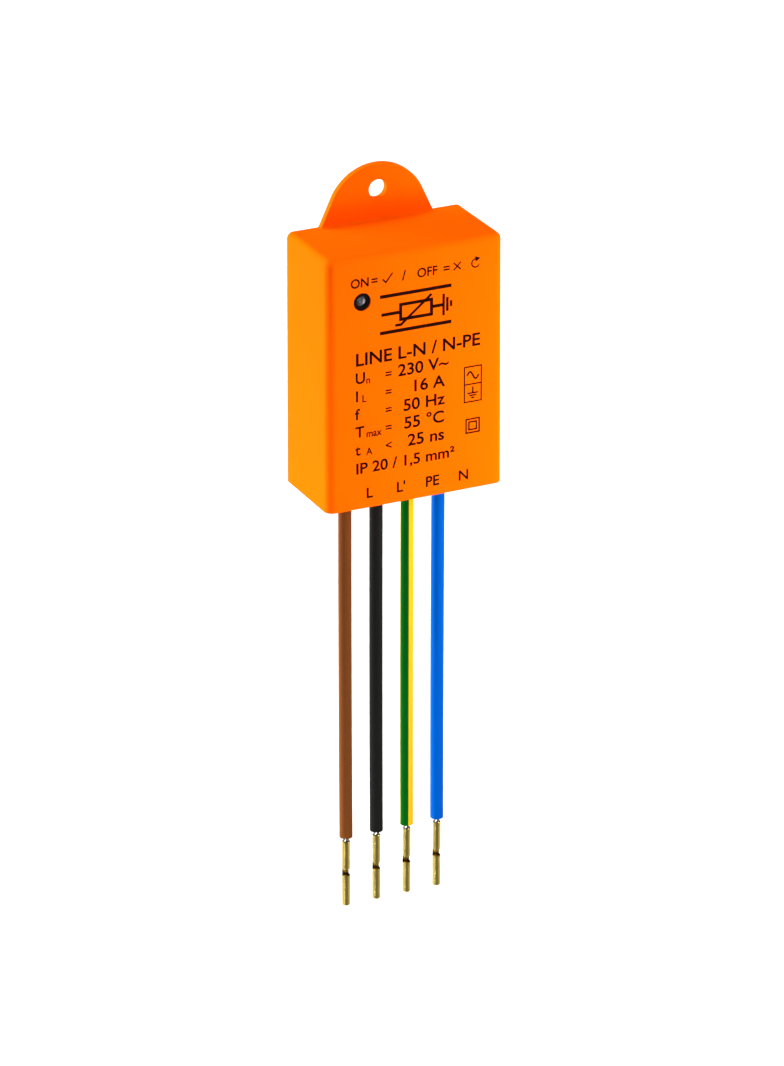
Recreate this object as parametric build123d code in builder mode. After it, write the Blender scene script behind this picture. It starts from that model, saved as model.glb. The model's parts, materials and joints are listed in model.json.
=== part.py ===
"""Whole house surge protector: a moulded box with a screw tab and four hanging leads.

Millimetres. X is to the right, Y is to the back, Z is up.
The origin is the centre of the tab's screw hole, on the flat back face of the housing.
"""
from build123d import *
import os
from math import cos, pi, radians, sin, sqrt, tan

os.makedirs("parts", exist_ok=True)

NEAR = 0.01             # two positions this close are the same one
CUT_PAST = 0.5          # a cut starts and ends this far past the wall

# Housing
BOX_W = 42.6            # width at the open bottom rim
BOX_D = 20.8            # depth at the open bottom rim
BOX_H = 58.4
DRAFT = 0.25            # degrees, on both sides and on the front
WALL = 1.6
FRONT_CORNER_R = 2.0    # upright front edges
TOP_EDGE_R = 1.5        # left, front and right edges of the top

# Mounting tab, flush with the back face
TAB_T = 1.5
TAB_R = 11.8            # round end
TAB_CENTRE_RISE = 1.2   # centre of the round end above the box
TAB_FLARE = 25.0        # degrees that each straight flank leans from upright
TAB_ROOT_R = 0.55
TAB_EDGE_R = 0.2
HOLE_D = 4.3
HOLE_RISE = 7.2         # screw hole centre above the box

# Levels of the box in the part's frame
BOX_TOP = -HOLE_RISE
BOX_BOTTOM = BOX_TOP - BOX_H
TAPER = BOX_H * tan(radians(DRAFT))
TOP_W = BOX_W - 2 * TAPER
TOP_D = BOX_D - TAPER
INNER_W = BOX_W - 2 * WALL
INNER_D = BOX_D - 2 * WALL
INNER_FRONT = -BOX_D + WALL
INNER_BACK = -WALL
INNER_TOP = BOX_TOP - WALL

# Leads, left to right as seen from the front
LEADS = ("brown", "black", "green_yellow", "blue")
LEAD_PITCH = 7.62
LEAD_OD = 3.0
LEAD_Y = -8.5
LEAD_X = [(i - 1.5) * LEAD_PITCH for i in range(4)]
LEAD_LENGTH = 86.2      # outside the box, to the cut end of the insulation
LEAD_BOW = 0.14         # a slight bow to the left, half way down
BEND_SHARE = 0.45       # of the shorter run beside a corner, taken by its arc
STRAND_GAP = 1.1        # bare strands between the insulation and the pin
STRAND_D = 0.48
STRAND_LAY = 7.0        # length of one twist of the strands
STRAND_FIT = 0.02       # gap between neighbouring strands
STRAND_END = 0.12       # the outer strands stop this far from the ends of the middle one
PIN_D = 1.84
PIN_LENGTH = 16.2
BARREL_D = 1.82         # the bored upper half, down to the foot of the window
PIN_BORE_D = 1.52
PIN_BORE_DEPTH = 8.8
BORE_SPARE = 2.0        # the strands end this far above the floor of the bore
WINDOW_TOP = 7.0        # inspection window, measured from the top of the pin
WINDOW_H = 1.65
WINDOW_BACK = 0.34      # the window's back plane, behind the pin's axis
PIN_TIP_CHAMFER = 0.15
PIN_MOUTH_CHAMFER = 0.08

# Bottom cover
COVER_T = 1.8
COVER_RECESS = 0.2
COVER_GAP = 0.1
COVER_W = INNER_W - 2 * COVER_GAP
COVER_BOTTOM = BOX_BOTTOM + COVER_RECESS
COVER_TOP = COVER_BOTTOM + COVER_T
LEAD_HOLE_D = LEAD_OD + 0.2
COLLAR_D = 5.0
COLLAR_H = 1.4
BEAD_H = 0.7
BEAD_OUT = 0.25
BEAD_LENGTH = 7.0
GROOVE_IN = 0.4         # depth of the groove that a bead snaps into
GROOVE_PLAY = (0.6, 0.2)  # groove over bead, in length and height
POST_X = 16.4
POST_SIZE = (2.4, 2.2)
POST_GAP = 0.03
MOUTH_CHAMFER = 0.3

# Circuit board, upright, slid in from below
BOARD_W = 38.4
BOARD_T = 1.6
BOARD_FRONT = -7.0
BOARD_BACK = BOARD_FRONT + BOARD_T
BOARD_TOP = -10.0
BOARD_BOTTOM = COVER_TOP + 1.6
SLOT_GAP = 0.06
RIB_IN = 1.3
RIB_T = 1.2
RIB_SUNK = 0.15         # into the side wall
RIB_GAP = 0.05          # above the cover
BOARD_CORNER = 0.8

# Components on the board, as (x, z)
LED_AT = (-12.8, BOX_TOP - 10.35)
LED_D = 3.0
LED_FLANGE_D = 3.8
LED_TIP = -BOX_D + 0.36
LED_HOLE_D = 4.1
LED_BODY = 5.3
LED_LEAD = 0.45
LED_LEAD_PITCH = 2.0
LED_FLANGE_T = 1.0
SPACER_PLAY = 0.1
HOLDER_D = 4.0          # black sleeve that centres the indicator in its hole
HOLDER_FRONT = -BOX_D + 0.55
HOLDER_L = 3.2
HOLDER_LIP = 0.45       # thickness of the lip round the dome
HOLDER_LIP_D = 2.5
HOLDER_BORE_D = LED_D + 0.06
HOLDER_FLANGE_D = 5.4
HOLDER_FLANGE_T = 0.8
HOLDER_FLANGE_AT = INNER_FRONT + 0.3
LED_LEAD_IN = 2.6       # how far the leads run up inside the lens
LED_HEADS = (0.9, 0.5)  # widths of the cup and of the post on top of the two leads
LED_HEAD_SIZE = (0.8, 0.6)
LED_HEAD_IN = 2.9
LED_HEAD_SHIFT = 0.1    # towards the middle, as a share of the lead's offset
RESISTORS_AT = ((-6.4, -17.3), (-2.4, -17.3))
RESISTOR_D = 2.3
RESISTOR_L = 6.2
RESISTOR_CAP = 1.2      # length of each thick end
RESISTOR_STEP = 0.5     # length of the slope down to the waist
RESISTOR_WAIST = 0.25   # depth of the waist
RESISTOR_ROUND = 0.25
DIODE_AT = (1.9, -17.3)
DIODE_D = 2.6
DIODE_L = 5.0
DIODE_ROUND = 0.2
AXIAL_PITCH = 10.16
AXIAL_WIRE = 0.6
AXIAL_LIFT = 0.2        # gap between the board and a body that lies on it
AXIAL_BEND_R = 0.7
VARISTOR_D = 14.5
VARISTOR_T = 4.5
VARISTOR_Z = -33.5
VARISTOR_X = {"live": -10.2, "neutral": 10.2}
VARISTOR_BACK = BOARD_FRONT - 0.7
VARISTOR_FRONT = VARISTOR_BACK - VARISTOR_T
VARISTOR_WIRE_PITCH = 7.5
VARISTOR_WIRE = 0.8
VARISTOR_ROUND = 1.3
VARISTOR_NECK_R = 0.9
VARISTOR_NECK_H = 3.0
VARISTOR_BEND_R = 0.9
VARISTOR_FOOT_Z = VARISTOR_Z - VARISTOR_D / 2 - 0.5
VARISTOR_DROP = 1.8     # from the foot of the neck to the board hole
TUBE_AT = (9.5, -49.5)
TUBE_D = 8.0
TUBE_L = 6.0
TUBE_CAP = 0.8
TUBE_STEP = 0.15        # ceramic under the rim of the caps
TUBE_BEND_R = 1.2
TUBE_Y = BOARD_FRONT - TUBE_D / 2 - 0.3
TUBE_WIRE_PITCH = 11.4
HOLE_PLAY = 0.2         # board hole over wire diameter
WIRE_STUB = 1.1         # wire standing out behind the board
SOLDER_FIT = 0.01       # gap between a wire and its solder
SOLDER_FOOT = 0.65
SOLDER_NECK = 0.15
SOLDER_H = 0.8

# Thermal disconnector
PIVOT = (-10.5, -50.0)
PIVOT_D = 1.6
PIVOT_PLAY = 0.05       # radial
TAB_SHEET = 0.4
SOLDER_T = 0.35
STRIP_T = 0.5
ARM_T = 2.0
ARM_W = 3.2
ARM_REACH = 11.6
ARM_HUB_D = 5.0
ARM_SHORT = 2.6         # the plastic arm ends this far below the strip's tip
ARM_CHAMFER = 0.2
STRIP_W = 2.6
STRIP_HUB_D = 4.2
STRIP_GAP = 0.05        # between the strip and the solder
HEAT_TAB_FRONT = VARISTOR_FRONT - TAB_SHEET
STRIP_BACK = HEAT_TAB_FRONT - SOLDER_T - STRIP_GAP
ARM_BACK = STRIP_BACK - STRIP_T
ARM_FRONT = ARM_BACK - ARM_T
SPRING_WALL_X = -15.6
SPRING_Z = PIVOT[1] + 3.9
SPRING_WIRE = 0.3
SPRING_D = 2.6
SPRING_TURNS = 4
SPRING_GAP = (0.05, 0.1)  # at the wall and at the arm
SPRING_SEAT = (0.9, 0.8)  # width of the seat on the arm, and its height over the spring
SPRING_SEAT_OUT = 0.4
SOLDER_BELOW_TIP = 1.0
HEAT_TAB_SIZE = (4.4, 5.4)
HEAT_TAB_R = 0.6
HEAT_TAB_UP = 1.2
PELLET_R = 1.3
PELLET_TAPER = 20
BASE_SIZE = (11.6, 6.6)
BASE_T = 1.4
BASE_R = 0.8
BASE_SHIFT = (-0.3, 1.0)  # middle of the base from the pivot
BASE_WALL_T = 1.2
BASE_WALL_UP = 2.0
BOSS_GAP = 0.1
PIVOT_HEAD_T = 0.6
PIVOT_HEAD_ROUND = 0.25

# Lead clamp
CLAMP_W = 31.0
CLAMP_T = 4.6
CLAMP_Z = (COVER_TOP + 2.6, COVER_TOP + 5.8)
CLAMP_SCREW_X = LEAD_PITCH
CLAMP_SCREW_D = 2.0
CLAMP_ROUND = 0.6
CLAMP_GRIP = 0.02       # radial gap between the clamp and a lead
SCREW_PLAY = 0.1        # radial
SCREW_HEAD_R = 1.5
SCREW_HEAD_H = 1.1
SCREW_HEAD_ROUND = 0.35
SCREW_PAST_NUT = 0.3
CROSS_LENGTH = 1.6
CROSS_WIDTH = 0.35
CROSS_DEPTH = 0.6
NUT_AF = 4.0
NUT_T = 1.6
NUT_PLAY = 0.02         # radial
TAIL_TOP = COVER_TOP + 7.4
SOLDER_HOLE_Z = TAIL_TOP + 2.4
CONDUCTOR_D = 1.4
CONDUCTOR_BEND_R = 1.0


def save(part, name):
    """Label one finished sub-part and write it as its own STEP file."""
    part.label = name
    export_step(part, f"parts/{name}.step")


def axial_feet(at):
    """Board holes of a part that lies along Z, as (x, z) pairs."""
    return [(at[0], at[1] + s * AXIAL_PITCH / 2) for s in (1, -1)]


def varistor_feet(side):
    """Board holes of one varistor, as (x, z) pairs."""
    z = VARISTOR_FOOT_Z - VARISTOR_DROP
    return [(VARISTOR_X[side] + s * VARISTOR_WIRE_PITCH / 2, z) for s in (-1, 1)]


def led_feet():
    """Board holes of the indicator, as (x, z) pairs."""
    return [(LED_AT[0] + s * LED_LEAD_PITCH / 2, LED_AT[1]) for s in (-1, 1)]


def tube_feet():
    """Board holes of the gas discharge tube, as (x, z) pairs."""
    return [(TUBE_AT[0] + s * TUBE_WIRE_PITCH / 2, TUBE_AT[1]) for s in (-1, 1)]


AXIAL_FEET = [foot for at in (*RESISTORS_AT, DIODE_AT) for foot in axial_feet(at)]
VARISTOR_FEET = [*varistor_feet("live"), *varistor_feet("neutral")]
CONDUCTOR_FEET = [(x, SOLDER_HOLE_Z) for x in LEAD_X]
# Every soldered hole: where it is, and the diameter of its wire
FEET = [
    *((foot, LED_LEAD * sqrt(2)) for foot in led_feet()),
    *((foot, AXIAL_WIRE) for foot in AXIAL_FEET),
    *((foot, VARISTOR_WIRE) for foot in VARISTOR_FEET),
    *((foot, VARISTOR_WIRE) for foot in tube_feet()),
    *((foot, CONDUCTOR_D) for foot in CONDUCTOR_FEET),
]


def bent_wire(points, radius, diameter):
    """A round wire along straight runs joined by one bend radius."""
    with BuildPart() as wire:
        with BuildLine() as path:
            FilletPolyline(*points, radius=radius)
        start = path.line @ 0
        with BuildSketch(Plane(origin=start, z_dir=path.line % 0)):
            Circle(diameter / 2)
        sweep(path=path.line)
    return wire.part


# ---------------------------------------------------------------- housing shell
with BuildPart() as housing_shell:
    with BuildSketch(Plane.XY.offset(BOX_BOTTOM)):
        with Locations((0, -BOX_D / 2)):
            Rectangle(BOX_W, BOX_D)
    with BuildSketch(Plane.XY.offset(BOX_TOP)):
        with Locations((0, -TOP_D / 2)):
            Rectangle(TOP_W, TOP_D)
    loft()
    uprights = housing_shell.edges().filter_by(lambda e: e.length > BOX_H - 1)
    fillet(uprights.group_by(Axis.Y)[0], FRONT_CORNER_R)
    roof = housing_shell.faces().sort_by(Axis.Z)[-1]
    fillet(roof.edges().filter_by(lambda e: e.center().Y < -NEAR), TOP_EDGE_R)
    # the cavity, open at the bottom
    with BuildSketch(Plane.XY.offset(BOX_BOTTOM)):
        with Locations((0, (INNER_FRONT + INNER_BACK) / 2)):
            Rectangle(INNER_W, INNER_D)
    with BuildSketch(Plane.XY.offset(INNER_TOP)):
        with Locations((0, (INNER_FRONT + TAPER + INNER_BACK) / 2)):
            Rectangle(INNER_W - 2 * TAPER, INNER_D - TAPER)
    loft(mode=Mode.SUBTRACT)
    # the tab: a round end with straight flanks that flare down to the box
    arc_z = BOX_TOP + TAB_CENTRE_RISE
    flare = radians(TAB_FLARE)
    shoulder = (TAB_R * cos(flare), arc_z + TAB_R * sin(flare))
    root_z = BOX_TOP - WALL / 2
    root_x = shoulder[0] + (shoulder[1] - root_z) * tan(flare)
    with BuildSketch(Plane.XZ):
        with BuildLine():
            ThreePointArc((-shoulder[0], shoulder[1]), (0, arc_z + TAB_R), shoulder)
            Polyline(shoulder, (root_x, root_z), (-root_x, root_z), (-shoulder[0], shoulder[1]))
        make_face()
    extrude(amount=TAB_T)
    tab_front = housing_shell.edges().filter_by(
        lambda e: abs(e.center().Y + TAB_T) < NEAR and e.center().Z > BOX_TOP + NEAR
    )
    fillet(tab_front, TAB_EDGE_R)
    root_edge = housing_shell.edges().filter_by(Axis.X).filter_by(
        lambda e: abs(e.center().Y + TAB_T) < NEAR and abs(e.center().Z - BOX_TOP) < NEAR
    )
    fillet(root_edge, TAB_ROOT_R)
    with BuildSketch(Plane.XZ):
        Circle(HOLE_D / 2)
    extrude(amount=TAB_T, mode=Mode.SUBTRACT)
    # the indicator's hole in the front wall
    with BuildSketch(Plane.XZ.offset(-INNER_FRONT - CUT_PAST)):
        with Locations(LED_AT):
            Circle(LED_HOLE_D / 2)
    extrude(amount=WALL + 2 * CUT_PAST, mode=Mode.SUBTRACT)
    # two ribs on each side wall make the slot that the board slides in
    rib_bottom = COVER_TOP + RIB_GAP
    rib_h = INNER_TOP - rib_bottom
    for rib_y in (BOARD_FRONT - SLOT_GAP - RIB_T / 2, BOARD_BACK + SLOT_GAP + RIB_T / 2):
        for side in (-1, 1):
            rib_x = side * (INNER_W / 2 - RIB_IN / 2)
            with Locations((rib_x, rib_y, rib_bottom + rib_h / 2)):
                Box(RIB_IN + 2 * RIB_SUNK, RIB_T, rib_h)
    # blind grooves that the cover's beads snap into
    for side in (-1, 1):
        with Locations((side * INNER_W / 2, -BOX_D / 2, COVER_BOTTOM + COVER_T / 2)):
            Box(2 * GROOVE_IN, BEAD_LENGTH + GROOVE_PLAY[0], BEAD_H + GROOVE_PLAY[1], mode=Mode.SUBTRACT)
save(housing_shell.part, "housing_shell")

# ---------------------------------------------------------------- bottom cover
with BuildPart() as bottom_cover:
    with BuildSketch(Plane.XY.offset(COVER_BOTTOM)):
        with Locations((0, -BOX_D / 2)):
            Rectangle(COVER_W, INNER_D - 2 * COVER_GAP)
    extrude(amount=COVER_T)
    with BuildSketch(Plane.XY.offset(COVER_TOP)):
        with Locations(*[(x, LEAD_Y) for x in LEAD_X]):
            Circle(COLLAR_D / 2)
    extrude(amount=COLLAR_H)
    # posts that hold the board up in its slot
    with BuildSketch(Plane.XY.offset(COVER_TOP)):
        with Locations(*[(s * POST_X, BOARD_BACK - BOARD_T / 2) for s in (-1, 1)]):
            Rectangle(*POST_SIZE)
    extrude(amount=BOARD_BOTTOM - COVER_TOP - POST_GAP)
    for side in (-1, 1):
        with Locations((side * COVER_W / 2, -BOX_D / 2, COVER_BOTTOM + COVER_T / 2)):
            Box(2 * BEAD_OUT, BEAD_LENGTH, BEAD_H)
    with BuildSketch(Plane.XY.offset(COVER_BOTTOM)):
        with Locations(*[(x, LEAD_Y) for x in LEAD_X]):
            Circle(LEAD_HOLE_D / 2)
    extrude(amount=COVER_T + COLLAR_H, mode=Mode.SUBTRACT)
    mouths = bottom_cover.faces().sort_by(Axis.Z)[0].edges().filter_by(GeomType.CIRCLE)
    chamfer(mouths, MOUTH_CHAMFER)
save(bottom_cover.part, "bottom_cover")

# ---------------------------------------------------------------- circuit board
with BuildPart() as circuit_board:
    with BuildSketch(Plane.XZ.offset(-BOARD_BACK)):
        with Locations((0, (BOARD_TOP + BOARD_BOTTOM) / 2)):
            Rectangle(BOARD_W, BOARD_TOP - BOARD_BOTTOM)
        for foot, wire_d in FEET:
            with Locations(foot):
                Circle((wire_d + HOLE_PLAY) / 2, mode=Mode.SUBTRACT)
        with Locations(*[(s * CLAMP_SCREW_X, sum(CLAMP_Z) / 2) for s in (-1, 1)]):
            Circle((CLAMP_SCREW_D + HOLE_PLAY) / 2, mode=Mode.SUBTRACT)
    extrude(amount=BOARD_T)
    corners = circuit_board.edges().filter_by(Axis.Y)
    chamfer(corners.filter_by(lambda e: abs(e.center().X) > BOARD_W / 2 - NEAR), BOARD_CORNER)
save(circuit_board.part, "circuit_board")

# Solder cones around every wire, behind the board
with BuildPart() as solder_joints:
    for (foot_x, foot_z), wire_d in FEET:
        hole_r = wire_d / 2 + SOLDER_FIT
        with BuildSketch(Plane.XY.offset(foot_z)):
            with BuildLine():
                Polyline(
                    (foot_x + hole_r, BOARD_BACK),
                    (foot_x + hole_r + SOLDER_FOOT, BOARD_BACK),
                    (foot_x + hole_r + SOLDER_NECK, BOARD_BACK + SOLDER_H),
                    (foot_x + hole_r, BOARD_BACK + SOLDER_H),
                    close=True,
                )
            make_face()
        revolve(axis=Axis((foot_x, 0, foot_z), (0, 1, 0)))
save(solder_joints.part, "solder_joints")

# ---------------------------------------------------------------- indicator
led_base = LED_TIP + LED_BODY
with BuildPart() as led_frame:
    lead_front = led_base - LED_LEAD_IN
    lead_back = BOARD_BACK + WIRE_STUB
    for (foot_x, foot_z), head_w in zip(led_feet(), LED_HEADS):
        with Locations((foot_x, (lead_front + lead_back) / 2, foot_z)):
            Box(LED_LEAD, lead_back - lead_front, LED_LEAD)
        head_x = foot_x - LED_HEAD_SHIFT * (foot_x - LED_AT[0])
        with Locations((head_x, led_base - LED_HEAD_IN, foot_z)):
            Box(head_w, *LED_HEAD_SIZE)
save(led_frame.part, "led_frame")

with BuildPart() as led_lens:
    with BuildSketch(Plane.XY.offset(LED_AT[1])):
        with BuildLine():
            dome_y = LED_TIP + LED_D / 2
            Polyline(
                (LED_AT[0], LED_TIP),
                (LED_AT[0], led_base),
                (LED_AT[0] + LED_FLANGE_D / 2, led_base),
                (LED_AT[0] + LED_FLANGE_D / 2, led_base - LED_FLANGE_T),
                (LED_AT[0] + LED_D / 2, led_base - LED_FLANGE_T),
                (LED_AT[0] + LED_D / 2, dome_y),
            )
            RadiusArc((LED_AT[0] + LED_D / 2, dome_y), (LED_AT[0], LED_TIP), LED_D / 2)
        make_face()
    revolve(axis=Axis((LED_AT[0], 0, LED_AT[1]), (0, 1, 0)))
    add(led_frame.part, mode=Mode.SUBTRACT)
save(led_lens.part, "led_lens")

with BuildPart() as led_spacer:
    with BuildSketch(Plane.XZ.offset(-BOARD_FRONT)):
        with Locations(LED_AT):
            Circle(LED_FLANGE_D / 2)
        with Locations(*led_feet()):
            Rectangle(LED_LEAD + SPACER_PLAY, LED_LEAD + SPACER_PLAY, mode=Mode.SUBTRACT)
    extrude(amount=BOARD_FRONT - led_base)
save(led_spacer.part, "led_spacer")

with BuildPart() as led_holder:
    with BuildSketch(Plane.XZ.offset(-HOLDER_FRONT)):
        with Locations(LED_AT):
            Circle(HOLDER_D / 2)
    extrude(amount=-HOLDER_L)
    with BuildSketch(Plane.XZ.offset(-HOLDER_FLANGE_AT)):
        with Locations(LED_AT):
            Circle(HOLDER_FLANGE_D / 2)
    extrude(amount=-HOLDER_FLANGE_T)
    with BuildSketch(Plane.XZ.offset(-HOLDER_FRONT)):
        with Locations(LED_AT):
            Circle(HOLDER_LIP_D / 2)
    extrude(amount=-HOLDER_LIP, mode=Mode.SUBTRACT)
    with BuildSketch(Plane.XZ.offset(-(HOLDER_FRONT + HOLDER_LIP))):
        with Locations(LED_AT):
            Circle(HOLDER_BORE_D / 2)
    extrude(amount=HOLDER_LIP - HOLDER_L, mode=Mode.SUBTRACT)
save(led_holder.part, "led_holder")


# ---------------------------------------------------------------- resistors and diode
def axial_wires(places, body_d, body_l):
    """Two bent end wires for each body that lies along Z on the board."""
    y = BOARD_FRONT - body_d / 2 - AXIAL_LIFT
    wires = []
    for x, z in places:
        for s in (1, -1):
            route = (
                (x, y, z + s * body_l / 2),
                (x, y, z + s * AXIAL_PITCH / 2),
                (x, BOARD_BACK + WIRE_STUB, z + s * AXIAL_PITCH / 2),
            )
            wires.append(bent_wire(route, AXIAL_BEND_R, AXIAL_WIRE))
    return wires


with BuildPart() as led_resistors:
    for place in RESISTORS_AT:
        middle_y = BOARD_FRONT - RESISTOR_D / 2 - AXIAL_LIFT
        with BuildSketch(Plane.XZ.offset(-middle_y)):
            with BuildLine():
                x0, z0 = place
                top = z0 + RESISTOR_L / 2
                foot = z0 - RESISTOR_L / 2
                x_end = x0 + RESISTOR_D / 2
                x_mid = x_end - RESISTOR_WAIST
                slope = RESISTOR_CAP + RESISTOR_STEP
                Polyline(
                    (x0, top), (x_end, top), (x_end, top - RESISTOR_CAP), (x_mid, top - slope),
                    (x_mid, foot + slope), (x_end, foot + RESISTOR_CAP), (x_end, foot), (x0, foot),
                    close=True,
                )
            make_face()
        revolve(axis=Axis((x0, middle_y, z0), (0, 0, 1)))
    circles = led_resistors.edges().filter_by(GeomType.CIRCLE)
    fillet(circles.filter_by(lambda e: e.radius > RESISTOR_D / 2 - NEAR), RESISTOR_ROUND)
save(led_resistors.part, "led_resistors")
save(Compound(children=axial_wires(RESISTORS_AT, RESISTOR_D, RESISTOR_L)), "resistor_wires")

with BuildPart() as rectifier_diode:
    with BuildSketch(Plane.XY.offset(DIODE_AT[1] - DIODE_L / 2)):
        with Locations((DIODE_AT[0], BOARD_FRONT - DIODE_D / 2 - AXIAL_LIFT)):
            Circle(DIODE_D / 2)
    extrude(amount=DIODE_L)
    fillet(rectifier_diode.edges().filter_by(GeomType.CIRCLE), DIODE_ROUND)
save(rectifier_diode.part, "rectifier_diode")
save(Compound(children=axial_wires((DIODE_AT,), DIODE_D, DIODE_L)), "diode_wires")


# ---------------------------------------------------------------- varistors
def varistor_body(x):
    """A coated disc lying flat in front of the board, with two short coated necks."""
    with BuildPart() as disc:
        with BuildSketch(Plane.XZ.offset(-VARISTOR_BACK)):
            with Locations((x, VARISTOR_Z)):
                Circle(VARISTOR_D / 2)
        extrude(amount=VARISTOR_T)
        fillet(disc.edges().filter_by(GeomType.CIRCLE), VARISTOR_ROUND)
        with BuildSketch(Plane.XY.offset(VARISTOR_FOOT_Z)):
            mid_y = (VARISTOR_BACK + VARISTOR_FRONT) / 2
            with Locations(*[(x + s * VARISTOR_WIRE_PITCH / 2, mid_y) for s in (-1, 1)]):
                Circle(VARISTOR_NECK_R)
        extrude(amount=VARISTOR_NECK_H)
    return disc.part


def varistor_wires(side):
    """The two wires that run down from the necks and turn into the board."""
    mid_y = (VARISTOR_BACK + VARISTOR_FRONT) / 2
    wires = []
    for foot_x, foot_z in varistor_feet(side):
        route = (
            (foot_x, mid_y, VARISTOR_FOOT_Z),
            (foot_x, mid_y, foot_z),
            (foot_x, BOARD_BACK + WIRE_STUB, foot_z),
        )
        wires.append(bent_wire(route, VARISTOR_BEND_R, VARISTOR_WIRE))
    return Compound(children=wires)


for side_name, centre_x in VARISTOR_X.items():
    save(varistor_body(centre_x), f"varistor_{side_name}")
    save(varistor_wires(side_name), f"varistor_{side_name}_wires")

# ---------------------------------------------------------------- gas discharge tube
tube_start = TUBE_AT[0] - TUBE_L / 2
with BuildPart() as gas_tube_ceramic:
    with BuildSketch(Plane.YZ.offset(tube_start + TUBE_CAP)):
        with Locations((TUBE_Y, TUBE_AT[1])):
            Circle(TUBE_D / 2 - TUBE_STEP)
    extrude(amount=TUBE_L - 2 * TUBE_CAP)
save(gas_tube_ceramic.part, "gas_tube_ceramic")

with BuildPart() as gas_tube_caps:
    for cap_x in (tube_start, tube_start + TUBE_L - TUBE_CAP):
        with BuildSketch(Plane.YZ.offset(cap_x)):
            with Locations((TUBE_Y, TUBE_AT[1])):
                Circle(TUBE_D / 2)
        extrude(amount=TUBE_CAP)
save(gas_tube_caps.part, "gas_tube_caps")

tube_wires = []
for (wire_x, wire_z), end_x in zip(tube_feet(), (tube_start, tube_start + TUBE_L)):
    tube_route = (
        (end_x, TUBE_Y, wire_z),
        (wire_x, TUBE_Y, wire_z),
        (wire_x, BOARD_BACK + WIRE_STUB, wire_z),
    )
    tube_wires.append(bent_wire(tube_route, TUBE_BEND_R, VARISTOR_WIRE))
save(Compound(children=tube_wires), "gas_tube_wires")

# ---------------------------------------------------------------- thermal disconnector
solder_at = (PIVOT[0], PIVOT[1] + ARM_REACH - SOLDER_BELOW_TIP)

with BuildPart() as heat_tab:
    with BuildSketch(Plane.XZ.offset(-VARISTOR_FRONT)):
        with Locations((solder_at[0], solder_at[1] + HEAT_TAB_UP)):
            RectangleRounded(*HEAT_TAB_SIZE, HEAT_TAB_R)
    extrude(amount=TAB_SHEET)
save(heat_tab.part, "varistor_heat_tab")

with BuildPart() as solder_pellet:
    with BuildSketch(Plane.XZ.offset(-HEAT_TAB_FRONT)):
        with Locations(solder_at):
            Circle(PELLET_R)
    extrude(amount=SOLDER_T, taper=PELLET_TAPER)
save(solder_pellet.part, "solder_pellet")

boss_front = STRIP_BACK + BOSS_GAP
with BuildPart() as disconnector_base:
    with BuildSketch(Plane.XZ.offset(-BOARD_FRONT)):
        with Locations((PIVOT[0] + BASE_SHIFT[0], PIVOT[1] + BASE_SHIFT[1])):
            RectangleRounded(*BASE_SIZE, BASE_R)
    extrude(amount=BASE_T)
    with BuildSketch(Plane.XZ.offset(-BOARD_FRONT)):
        with Locations(PIVOT):
            Circle(ARM_HUB_D / 2)
    extrude(amount=BOARD_FRONT - boss_front)
    with BuildSketch(Plane.XZ.offset(-BOARD_FRONT)):
        with Locations((SPRING_WALL_X - BASE_WALL_T / 2, PIVOT[1] + BASE_WALL_UP)):
            Rectangle(BASE_WALL_T, BASE_SIZE[1])
    extrude(amount=BOARD_FRONT - ARM_FRONT)
    with BuildSketch(Plane.XZ.offset(-BOARD_FRONT)):
        with Locations(PIVOT):
            Circle(PIVOT_D / 2)
    extrude(amount=BOARD_FRONT - boss_front, mode=Mode.SUBTRACT)
save(disconnector_base.part, "disconnector_base")

with BuildPart() as pivot_pin:
    with BuildSketch(Plane.XZ.offset(-BOARD_FRONT)):
        with Locations(PIVOT):
            Circle(PIVOT_D / 2)
    extrude(amount=BOARD_FRONT - ARM_FRONT + BOSS_GAP)
    with BuildSketch(Plane.XZ.offset(-ARM_FRONT + BOSS_GAP)):
        with Locations(PIVOT):
            Circle(PIVOT_D)
    extrude(amount=PIVOT_HEAD_T)
    fillet(pivot_pin.faces().sort_by(Axis.Y)[0].edges(), PIVOT_HEAD_ROUND)
save(pivot_pin.part, "pivot_pin")


def lever(back, thickness, width, hub_d, reach):
    """A flat lever with a round hub at the pivot and a round tip above it."""
    with BuildPart() as plate:
        with BuildSketch(Plane.XZ.offset(-back)):
            with Locations(PIVOT):
                Circle(hub_d / 2)
            with Locations((PIVOT[0], PIVOT[1] + reach / 2 - width / 4)):
                Rectangle(width, reach - width / 2)
            with Locations((PIVOT[0], PIVOT[1] + reach - width / 2)):
                Circle(width / 2)
            with Locations(PIVOT):
                Circle(PIVOT_D / 2 + PIVOT_PLAY, mode=Mode.SUBTRACT)
        extrude(amount=thickness)
    return plate.part


save(lever(STRIP_BACK, STRIP_T, STRIP_W, STRIP_HUB_D, ARM_REACH), "arm_contact")

with BuildPart() as disconnector_arm:
    add(lever(ARM_BACK, ARM_T, ARM_W, ARM_HUB_D, ARM_REACH - ARM_SHORT))
    with BuildSketch(Plane.XZ.offset(-ARM_BACK)):
        with Locations((PIVOT[0] - ARM_W / 2 - SPRING_SEAT_OUT, SPRING_Z)):
            Rectangle(SPRING_SEAT[0], SPRING_D + SPRING_SEAT[1])
    extrude(amount=ARM_T)
    tip_edges = disconnector_arm.faces().sort_by(Axis.Y)[0].edges().filter_by(GeomType.LINE)
    chamfer(tip_edges, ARM_CHAMFER)
save(disconnector_arm.part, "disconnector_arm")

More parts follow.
